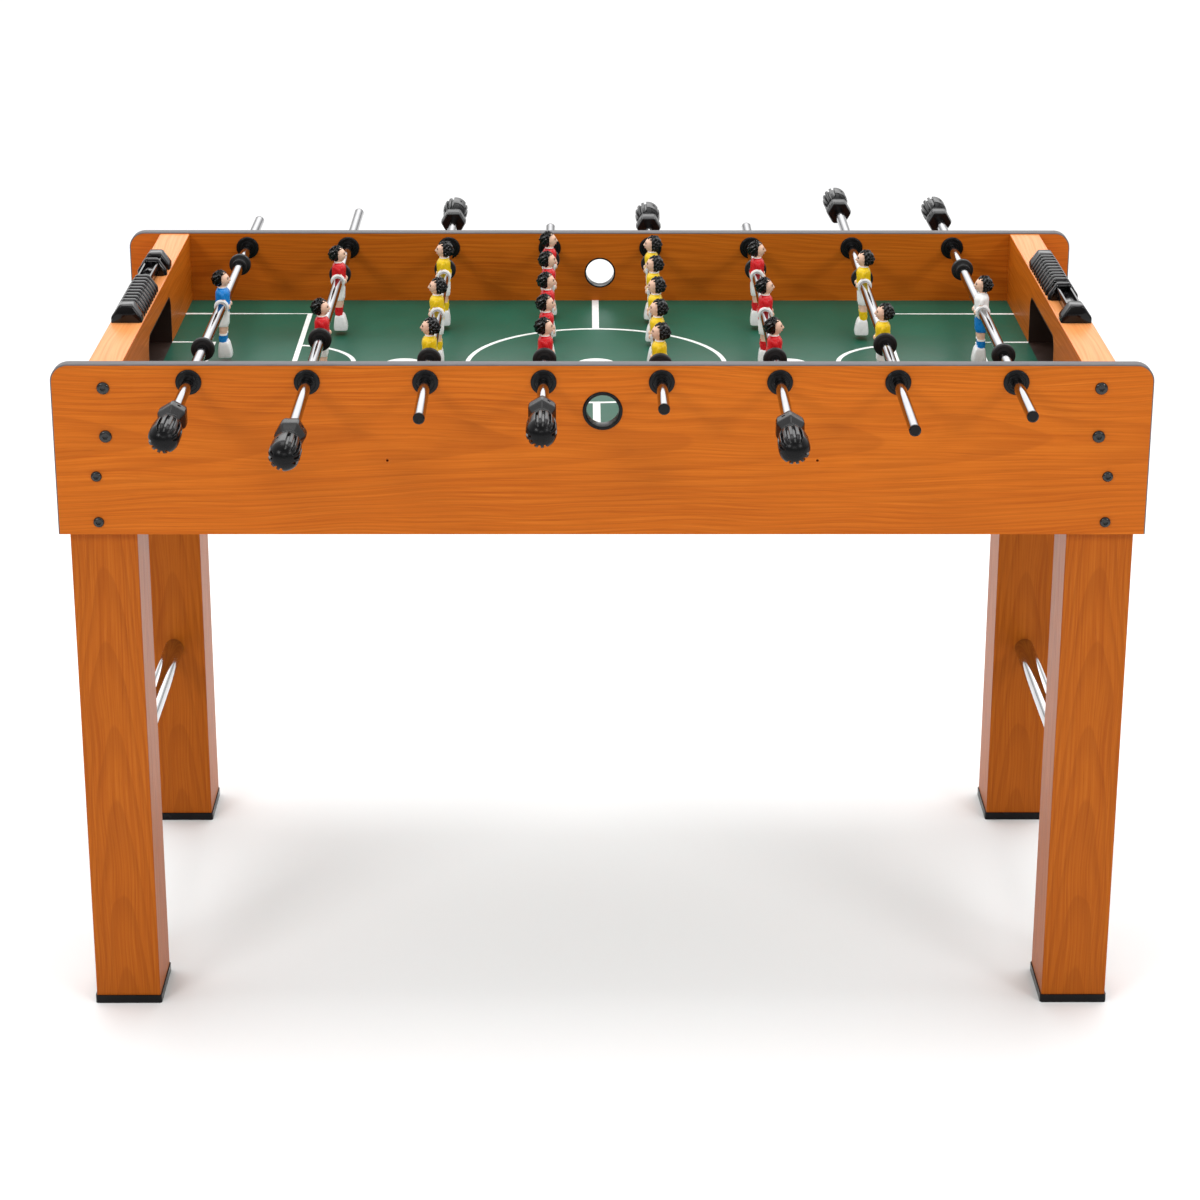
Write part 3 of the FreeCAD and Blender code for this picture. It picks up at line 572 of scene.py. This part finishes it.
class Print(Pile):
    """White lines printed on the field, as flat bands just proud of it."""

    thick, under = 0.15, 0.12  # arcs end under the straight lines that they meet

    def band(self, points, width, loop=False, thick=thick):
        """A band along points (x, y)."""
        points = [Vector((*p, 0)) for p in points]
        rings = []
        for i, point in enumerate(points):
            before = points[i - 1] if i or loop else point
            after = points[(i + 1) % len(points)] if i + 1 < len(points) or loop else point
            side = (after - before).normalized().cross(Vector((0, 0, 1))) * width / 2
            up = Vector((0, 0, thick))
            rings.append([point - side, point + side, point + side + up, point - side + up])
        self.skin(rings, loop=loop, ends="face")

    def arc(self, centre, radius, width, first=0.0, last=360.0, steps=96):
        whole = last - first >= 360
        turns = [math.radians(first + (last - first) * k / steps) for k in range(steps + (0 if whole else 1))]
        self.band([(centre + radius * math.cos(a), radius * math.sin(a)) for a in turns],
                  width, whole, self.under)

    def spot(self, x, radius):
        turns = [2 * math.pi * k / 48 for k in range(48)]
        self.skin([[(x + radius * math.cos(a), radius * math.sin(a), z) for a in turns]
                   for z in (0.0, self.thick)])


low, high = (v / MM for v in node_box("playfield"))
PRINT_AT = -6.0  # the print lies a little off the middle of the board
lines = Print()
circle, line, halfway_line, box_line = 155.0, 5.5, 8.5, 6.5
box_front, box_half = 363.0, 225.0
area_front, area_half = 470.0, 95.0
arc_at, arc_radius = 372.0, 81.0
spot_at, spot_radius = 231.0, 24.0
arc_reach = math.degrees(math.acos((arc_at - box_front) / arc_radius))
lines.arc(0.0, circle, line)
for side in (-1, 1):
    lines.band([(0, side * circle), (0, side * high.y)], halfway_line)
    wall = side * high.x - PRINT_AT
    for front, half, width in ((side * box_front, box_half, box_line), (side * area_front, area_half, line)):
        lines.band([(wall, -half), (front, -half), (front, half), (wall, half)], width)
    inward = 180.0 if side > 0 else 0.0
    lines.arc(side * arc_at, arc_radius, line, inward - arc_reach, inward + arc_reach, 48)
for x in (-spot_at, 0.0, spot_at):
    lines.spot(x, spot_radius)
piece("field_lines", lines.mesh("field_lines", ["line"]), "table",
      (PRINT_AT * MM, 0, high.z * MM))


# ---------------------------------------------------------------- score counters

def half_octagon(inset=0.0):
    """The counters' outline from its right foot over the top to its left foot, drawn in by inset."""
    corners = [(17.75, 0.4), (17.75, 6.3), (7.45, 21.0), (-7.45, 21.0), (-17.75, 6.3), (-17.75, 0.4)]
    narrow, lower = (17.75 - inset) / 17.75, (21.0 - inset) / 21.0
    return softened([(x * narrow, 0, z * lower) for x, z in corners], 2.2)


def bead_mesh(length, base=0.4):
    """A score bead along Y with a rib in its middle, slotted for the rail."""
    half = length / 2
    slot = [(-6.4, base), (-6.4, 8.6), (-9.15, 8.6), (-9.15, 17.4), (9.15, 17.4), (9.15, 8.6), (6.4, 8.6),
            (6.4, base)]
    rings = []
    for y, inset in ((-half, 2.9), (-half + 0.6, 2.8), (-half + 2.2, 2.5), (-half + 2.9, 1.1),
                     (-half + 3.8, 0.35), (-half + 4.9, 0.0), (half - 4.9, 0.0), (half - 3.8, 0.35),
                     (half - 2.9, 1.1), (half - 2.2, 2.5), (half - 0.6, 2.8), (half, 2.9)):
        outline = [(p.x, y, p.z) for p in half_octagon(inset)]
        rings.append(outline + [(x, y, z) for x, z in slot])
    pile = Pile()
    pile.skin(rings, ends="face")
    return pile.mesh("score_bead", ["bead"], 35)


def rail_mesh(half, block):
    """A score rail: a T section with two raised edges, between two end blocks."""
    right = [(6, 0), (6, 9), (8.75, 9), (8.75, 16.0), (8.3, 16.8), (7.3, 17), (6.3, 16.8), (5.8, 16.0),
             (5.6, 10.6)]
    section = right + [(-x, z) for x, z in reversed(right)]
    pile = Pile()
    inner = half - block + 2.0
    pile.skin([[(x, y, z) for x, z in section] for y in (-inner, inner)], ends="face")
    for sign in (-1, 1):
        rings = []
        for step, inset in ((0.0, 2.2), (0.5, 1.2), (1.6, 0.35), (2.8, 0.0), (block - 2.8, 0.0),
                            (block - 1.6, 0.35), (block - 0.5, 1.2), (block, 2.2)):
            y = sign * (half - step)
            outline = [(p.x, y, p.z) for p in half_octagon(inset)]
            rings.append([(outline[0][0], y, 0.0)] + outline + [(outline[-1][0], y, 0.0)])
        pile.skin(rings, ends="face")
    return pile.mesh("score_rail", ["bead"], 35)


low, high = node_box("score_bead_left")
bead_shape = bead_mesh((high.y - low.y) / MM)
rail_parts = loose_parts("score_rails")
rail_shape = rail_mesh((rail_parts[0][1].y - rail_parts[0][0].y) / 2 / MM, 23.0)
for end, (low, high) in zip(("left", "right"), rail_parts):
    middle = (low + high) / 2
    piece(f"score_rail_{end}", rail_shape, "table", (middle.x, middle.y, low.z),
          nodes=["score_rails"])
    base = low.z
    for body in (f"score_stack_{end}", f"score_bead_{end}"):
        for number, (low, high) in enumerate(loose_parts(body)):
            middle = (low + high) / 2
            name = body if body.startswith("score_bead") else f"{body}_{number + 1}"
            piece(f"{name}_shape", bead_shape, body, (middle.x, middle.y, base), nodes=[body])


# ---------------------------------------------------------------- players

INKS = ["skin", "hair", "eye", "lip", "white", "shirt", "shorts", "sock", "shoe"]
SKIN, HAIR, EYE, LIP, WHITE, SHIRT, SHORTS, SOCK, SHOE = range(9)
KITS = {
    "blue": {"shirt": "blue", "shorts": "white", "sock": "blue"},
    "white": {"shirt": "white", "shorts": "blue", "sock": "blue"},
    "red": {"shirt": "red", "shorts": "white", "sock": "red"},
    "yellow": {"shirt": "yellow", "shorts": "white", "sock": "yellow"},
}


def oval(centre_x, centre_y, z, radius_x, radius_y, power=2.4, around=36):
    """A rounded outline in the plane at height z; a higher power makes it squarer."""
    points = []
    for k in range(around):
        a = 2 * math.pi * k / around
        c, s = math.cos(a), math.sin(a)
        points.append((centre_x + radius_x * math.copysign(abs(c) ** (2 / power), c),
                       centre_y + radius_y * math.copysign(abs(s) ** (2 / power), s), z))
    return points


def face_relief(way):
    """Nose, brow, eye hollows, lips and chin of a head that faces +X."""
    if way.x <= 0:
        return Vector((0, 0, 0))
    nose = 2.1 * bell(way.y, 0, 0.17) * bell(way.z, -0.12, 0.17)
    bridge = bell(way.y, 0, 0.12) * bell(way.z, 0.1, 0.2)
    brow = 0.45 * bell(way.z, 0.34, 0.12) * bell(abs(way.y), 0.3, 0.3)
    eyes = -0.8 * bell(abs(way.y), 0.36, 0.16) * bell(way.z, 0.14, 0.13)
    lips = 0.7 * bell(way.y, 0, 0.26) * bell(way.z, -0.46, 0.10)
    chin = 0.9 * bell(way.y, 0, 0.35) * bell(way.z, -0.78, 0.16)
    cheeks = 0.35 * bell(abs(way.y), 0.52, 0.2) * bell(way.z, -0.2, 0.25)
    return Vector((nose + bridge + brow + eyes + lips + chin + cheeks, 0, 0))


def hair_relief(way):
    """Wavy locks over the crown, sides and nape; drawn in under the skin where the face is."""
    face = ease(way.x, 0.22, 0.42) * (1 - ease(way.z, 0.50, 0.68))
    under = 1 - ease(way.z, -0.96, -0.80)
    turn = math.atan2(way.y, -way.x)
    locks = 1.15 * math.sin(7 * turn + 5 * way.z) * math.cos(6 * way.z + 2 * turn)
    curls = 0.85 * math.sin(13 * way.y + 9 * way.z) * math.sin(12 * way.x - 7 * way.z)
    return way * ((locks + curls) * (1 - face) * (1 - under) - 4.6 * face - 2.6 * under)


def player_mesh(kit):
    """A player on its rod: axis at the origin along Y, facing +X."""
    pile = Pile()
    # torso and neck
    torso = [(-9.0, 0.0, 7.2, 8.6), (-8.2, 0.0, 8.0, 9.6), (0.0, 0.2, 8.5, 10.0), (7.0, 0.5, 8.4, 9.9),
             (13.0, 0.8, 8.7, 10.4), (16.5, 0.7, 8.3, 10.5), (18.8, 0.5, 7.2, 9.3), (20.4, 0.4, 5.8, 7.2),
             (21.4, 0.4, 5.0, 5.4), (22.2, 0.4, 5.1, 5.3), (22.5, 0.4, 4.4, 4.5), (27.5, 0.6, 4.2, 4.2)]
    inks = [SHIRT] * 8 + [WHITE] * 2 + [SKIN]
    pile.skin([oval(x, 0, z, rx, ry, 2.6) for z, x, rx, ry in torso], inks)
    # the boss round the rod, shirt above and shorts below, with a pale rim at each end
    start = len(pile.faces)
    bore, boss, half = 6.4, 8.9, 11.5
    pile.lathe([(bore, -half), (boss - 0.8, -half), (boss - 0.1, -half + 0.5), (boss, -half + 1.3),
                (boss, half - 1.3), (boss - 0.1, half - 0.5), (boss - 0.8, half), (bore, half)], 48,
               ink=WHITE, loop=True)
    for index in range(start, len(pile.faces)):
        centre = sum((pile.points[i] for i in pile.faces[index]), Vector()) / len(pile.faces[index])
        if abs(centre.y) < half - 1.4 and math.hypot(centre.x, centre.z) > boss - 0.4 and centre.z > 0.8:
            pile.inks[index] = SHIRT
    # sleeves, forearms and hands
    for side in (-1, 1):
        arm = [(17.2, 0.6, 8.2, 2.2), (16.0, 0.7, 9.0, 2.9), (12.5, 1.1, 9.1, 3.0), (9.2, 1.9, 9.0, 2.9),
               (9.0, 1.9, 9.0, 2.4), (6.0, 3.4, 8.9, 2.3), (2.5, 6.0, 8.7, 2.1)]
        pile.skin([oval(x, side * y, z, r * 1.1, min(r, 11.4 - y), 2.0, 20) for z, x, y, r in arm],
                  [SHIRT] * 4 + [SKIN] * 2)
        pile.blob((8.6, side * 8.4, -0.6), (2.2, 2.0, 3.0), SKIN, around=16, rings=10)
    # shorts, knees, socks
    for side in (-1, 1):
        thigh = [(-5.0, 0.1, 4.9, 7.4, 5.2), (-12.0, 0.1, 4.9, 7.6, 5.2), (-19.0, 0.0, 5.0, 7.3, 5.1),
                 (-24.6, 0.0, 5.1, 7.0, 5.0), (-25.4, 0.0, 5.1, 6.4, 4.5)]
        pile.skin([oval(x, side * y, z, rx, ry, 2.5, 28) for z, x, y, rx, ry in thigh], SHORTS)
        leg = [(-23.0, 0.0, 5.0, 4.6, 3.9), (-27.0, 0.2, 5.0, 4.7, 3.9), (-30.5, 0.5, 5.0, 4.9, 3.9),
               (-34.2, 0.1, 5.0, 4.4, 3.8), (-34.4, 0.1, 5.0, 5.0, 4.2), (-36.3, 0.0, 5.0, 5.0, 4.2),
               (-36.5, 0.0, 5.0, 4.6, 3.9), (-40.0, -0.6, 5.0, 4.9, 4.0), (-44.0, -0.4, 5.0, 4.4, 3.9),
               (-48.0, 0.0, 5.0, 4.2, 3.8)]
        band = WHITE if kit in ("white", "blue") else SOCK
        pile.skin([oval(x, side * y, z, rx, ry, 2.3, 24) for z, x, y, rx, ry in leg],
                  [SKIN] * 3 + [band] * 3 + [SOCK] * 3)
    # the block of the feet
    feet = [(-44.2, 0.4, 4.6, 8.4), (-45.6, 0.6, 5.6, 9.3), (-48.0, 0.8, 6.6, 9.7), (-56.0, 1.2, 8.0, 10.0),
            (-61.6, 1.5, 8.5, 10.0), (-63.4, 1.5, 8.2, 9.7), (-64.0, 1.5, 7.2, 8.9)]
    pile.skin([oval(x, 0, z, rx, ry, 6.0, 48) for z, x, rx, ry in feet], SHOE)
    # head
    pile.blob((0.9, 0, 31.2), (8.0, 6.8, 9.3), SKIN, face_relief, 56, 40)
    pile.blob((-1.6, 0, 32.0), (9.9, 8.9, 9.9), HAIR, hair_relief, 80, 50)
    for side in (-1, 1):
        pile.blob((0.2, side * 6.9, 30.6), (1.6, 0.9, 2.2), SKIN, around=14, rings=8)
        pile.blob((7.9, side * 2.55, 32.4), (0.75, 1.15, 0.75), EYE, around=14, rings=8)
        pile.blob((8.2, side * 2.7, 34.1), (0.55, 1.6, 0.4), HAIR, around=14, rings=8)
    pile.blob((9.0, 0, 26.9), (0.6, 1.9, 0.55), LIP, around=16, rings=8)
    materials = [KITS[kit].get(ink, ink) for ink in INKS]
    return pile.mesh(f"player_{kit}", materials, 42)


# ---------------------------------------------------------------- what rides on the rods

def grip_mesh():
    """A handle along +Y: six-sided collar, ringed neck, finned body with two smooth pads, rounded end."""
    around, fins = 224, 14
    bore, bore_deep, length = 6.36, 79.0, 98.0
    collar_end, fins_end, ball = 36.0, 82.0, 16.4
    collar = [(0.0, 14.4), (0.9, 15.5), (9.0, 17.0), (21.6, 17.0), (23.6, 16.3), (33.5, 12.2), (36.0, 11.5)]
    body = [(36.0, 11.5), (39.5, 11.7), (44.0, 13.2), (49.0, 14.5), (56.0, 15.7), (64.0, 16.3), (74.0, 16.4),
            (82.0, 16.35)]
    screw_at, screw_turn, pad_turns = 13.0, math.radians(150), (math.pi / 3, 4 * math.pi / 3)
    pad_from, pad_slot, groove_deep = 53.0, 69.0, 3.8

    def between(table, y):
        for (y0, r0), (y1, r1) in zip(table, table[1:]):
            if y <= y1:
                t = (y - y0) / (y1 - y0)
                return r0 + (r1 - r0) * t
        return table[-1][1]

    def away(a, b):
        """The angle between two directions."""
        return abs(math.atan2(math.sin(a - b), math.cos(a - b)))

    def surface(y, a):
        if y <= collar_end:
            corner = between(collar, y)
            wedge = a % (math.pi / 3) - math.pi / 6
            r = min(corner * math.cos(math.pi / 6) / math.cos(wedge), corner * 0.965)
            return r - 1.8 * (1 - ease(math.hypot(y - screw_at, away(a, screw_turn) * r), 1.4, 2.2))
        if y <= fins_end:
            r = between(body, y)
            pad_turn = min(away(a, p) for p in pad_turns)
            pad = (1 - ease(pad_turn, 0.42, 0.52)) * ease(y, pad_from, pad_from + 2.5)
            rings = sum(bell(y, at, 0.85) for at in (38.5, 42.3, 46.1, 49.9, 53.5))
            near_pad = 1 - ease(pad_turn, 0.60, 0.80)
            groove = ease(math.cos(fins * a), -0.1, 0.45) * ease(y, 42.0, 46.5)
            ring_depth = 1.3 * rings * (1.0 if y < 44 else near_pad)
            fin_depth = groove_deep * groove * (1 - near_pad if y < pad_from + 1 else 1 - pad)
            slot = math.hypot((y - pad_slot) / 2.6, pad_turn * r / 1.3)
            return r - ring_depth - fin_depth - 1.6 * pad * (1 - ease(slot, 0.7, 1.3))
        t = min(1.0, (y - fins_end) / (length - fins_end))
        pad = 1 - ease(min(away(a, p) for p in pad_turns), 0.42, 0.52)
        groove = ease(math.cos(fins * a), -0.1, 0.45) * (1 - ease(y, 90.5, 94.5)) * (1 - pad)
        return ball * math.sqrt(max(0.0, 1 - t * t)) - groove_deep * groove

    stations = sorted(
        [0.0, 0.9, 4.5, 9.0, 10.2, 10.9, 11.6, 12.3, 13.0, 13.7, 14.4, 15.1, 15.8, 18.0, 21.6, 23.6, 26.0,
         28.5, 31.0, 33.5, 36.0] +
        [36.1 + 0.7 * k for k in range(30)] + [58.5, 61.0, 63.5] +
        [65.4 + 0.8 * k for k in range(10)] + [74.5, 76.5, 78.5, 79.5, 80.3, 81.1, 82.0] +
        [fins_end + (length - fins_end) * math.sin(math.pi / 2 * k / 18) for k in range(1, 18)] + [97.95])
    turns = [2 * math.pi * k / around for k in range(around)]
    rings = [[(bore * math.cos(a), y, bore * math.sin(a)) for a in turns] for y in (bore_deep, 0.0)]
    rings += [[(surface(y, a) * math.cos(a), y, surface(y, a) * math.sin(a)) for a in turns]
              for y in stations]
    pile = Pile()
    pile.skin(rings)
    return pile.mesh("grip", ["grip"], 30)


def bumper_mesh():
    """A rubber bumper along +Y: the hub first, then the disc."""
    bore, hub, disc = 6.43, 9.0, 13.5
    profile = [(bore, 0.0), (hub - 0.8, 0.0), (hub - 0.2, 0.25), (hub, 0.9), (hub, 6.6), (hub + 0.35, 7.6),
               (hub + 1.2, 8.0), (disc - 1.8, 8.1), (disc - 0.5, 8.6), (disc, 10.0), (disc, 14.0),
               (disc - 0.5, 15.3), (disc - 1.8, 15.9), (10.4, 16.0), (10.0, 15.5), (9.3, 15.5),
               (8.9, 16.0), (bore, 16.0)]
    pile = Pile()
    pile.lathe(profile, 56, loop=True)
    return pile.mesh("bumper", ["rubber"], 42)


player_shapes = {kit: player_mesh(kit) for kit in KITS}
grip_shape, bumper_shape = grip_mesh(), bumper_mesh()
ROD_KITS = ["blue", "red", "yellow", "red", "yellow", "red", "yellow", "white"]
GRIP_ROLLS = [30, 0, 0, 30, 0, 90, 0, 0]  # degrees, as each handle happens to be fitted
for number, (kit, roll) in enumerate(zip(ROD_KITS, GRIP_ROLLS), start=1):
    rod = f"rod_{number}"
    dress(f"{rod}_tube", "rod")
    dress(f"{rod}_end_cap", "black")
    axis = node_middle(f"{rod}_tube")
    low, high = node_box(f"{rod}_grip")
    in_front = low.y < axis.y - (high.y - axis.y)
    start = high.y if in_front else low.y
    piece(f"{rod}_handle", grip_shape, rod, (axis.x, start, axis.z),
          HALF_TURN if in_front else 0.0, nodes=[f"{rod}_grip"], roll=math.radians(roll))
    for man, (low, high) in enumerate(loose_parts(f"{rod}_players"), start=1):
        piece(f"{rod}_player_{man}", player_shapes[kit], rod,
              (axis.x, (low.y + high.y) / 2, axis.z), 0.0 if in_front else HALF_TURN,
              nodes=[f"{rod}_players"])
    for side, (low, high) in zip(("front", "back"), loose_parts(f"{rod}_bumpers")):
        back = side == "back"
        piece(f"{rod}_bumper_{side}", bumper_shape, f"{rod}_bumpers",
              (axis.x, low.y if back else high.y, axis.z), 0.0 if back else HALF_TURN,
              nodes=[f"{rod}_bumpers"])


# ---------------------------------------------------------------- floor, light and camera

def stage():
    """The paper floor, the studio world, four area lights and the camera."""
    half = 30.0
    aim = Vector((0, 0, 0.6))
    camera_at, pitch_down = (-0.0200, -3.3818, 1.7042), math.radians(18.33)
    lens, sensor, shift = 88.09, 36.0, -0.12
    mesh = bpy.data.meshes.new("floor")
    corners = [(-half, -half, 0), (half, -half, 0), (half, half, 0), (-half, half, 0)]
    mesh.from_pydata(corners, [], [(0, 1, 2, 3)])
    shade = Shade("floor_paper", (0.9, 0.9, 0.9), Roughness=0.9)
    shade.use("Base Color", shade.ramp(shade.noise(shade.position(), 0.6, 2.0),
                                       (0.3, (0.90, 0.90, 0.90)), (0.7, (0.92, 0.92, 0.92))))
    mesh.materials.append(shade.material)
    floor = bpy.data.objects.new("floor", mesh)
    bpy.context.scene.collection.objects.link(floor)

    world = bpy.data.worlds.new("studio")
    bpy.context.scene.world = world
    world.use_nodes = True
    tree = world.node_tree
    background = tree.nodes["Background"]
    background.inputs[0].default_value = (1, 1, 1, 1)
    place = tree.nodes.new("ShaderNodeTexCoord")
    split = tree.nodes.new("ShaderNodeSeparateXYZ")
    tree.links.new(place.outputs["Generated"], split.inputs[0])

    def spread(axis, *numbers):
        """How far a direction lies along an axis, carried from one range to another."""
        node = tree.nodes.new("ShaderNodeMapRange")
        node.interpolation_type = "SMOOTHSTEP"
        tree.links.new(split.outputs[axis], node.inputs[0])
        for index, number in enumerate(numbers, start=1):
            node.inputs[index].default_value = number
        return node.outputs[0]

    def combine(operation, first, second):
        node = tree.nodes.new("ShaderNodeMath")
        node.operation = operation
        for socket, value in zip(node.inputs, (first, second)):
            if isinstance(value, bpy.types.NodeSocket):
                tree.links.new(value, socket)
            else:
                socket.default_value = value
        return node.outputs[0]

    # brighter overhead than near the horizon, darker in front, and a lit backdrop low behind the table
    sky = combine("MULTIPLY", spread("Z", -0.05, 0.30, 0.30, 1.25), spread("Y", -0.7, 0.4, 0.36, 1.20))
    band = combine("MULTIPLY", spread("Z", 0.16, 0.27, 0.0, 1.0), spread("Z", 0.55, 0.38, 0.0, 1.0))
    backdrop = combine("MULTIPLY", spread("Y", 0.70, 0.92, 0.0, 1.2), band)
    # the light keeps its bands, and what the camera sees beyond the floor is plain white
    seen = tree.nodes.new("ShaderNodeLightPath").outputs["Is Camera Ray"]
    lit = combine("MULTIPLY", combine("ADD", sky, backdrop), combine("SUBTRACT", 1.0, seen))
    tree.links.new(combine("ADD", lit, seen), background.inputs[1])

    for name, place, size, power in (
            ("key_left", (-2.3, -3.0, 2.7), (1.2, 0.8), 40.0),
            ("key_right", (2.5, -2.8, 2.5), (1.0, 0.7), 29.0),
            ("front", (0.0, -4.6, 2.4), (2.2, 0.7), 19.0),
            ("top", (0.0, 0.2, 3.0), (2.2, 1.4), 40.0)):
        data = bpy.data.lights.new(name, "AREA")
        data.shape, data.size, data.size_y, data.energy = "RECTANGLE", *size, power
        lamp = bpy.data.objects.new(name, data)
        bpy.context.scene.collection.objects.link(lamp)
        lamp.location = place
        lamp.rotation_euler = (aim - Vector(place)).to_track_quat("-Z", "Y").to_euler()

    camera = bpy.data.objects.new("camera", bpy.data.cameras.new("camera"))
    bpy.context.scene.collection.objects.link(camera)
    bpy.context.scene.camera = camera
    camera.location = camera_at
    camera.rotation_euler = (math.pi / 2 - pitch_down, -0.0018, -0.0050)
    camera.data.lens, camera.data.sensor_width, camera.data.shift_y = lens, sensor, shift
    camera.data.clip_end = 100.0
    bpy.context.scene.view_settings.view_transform = "Standard"


stage()
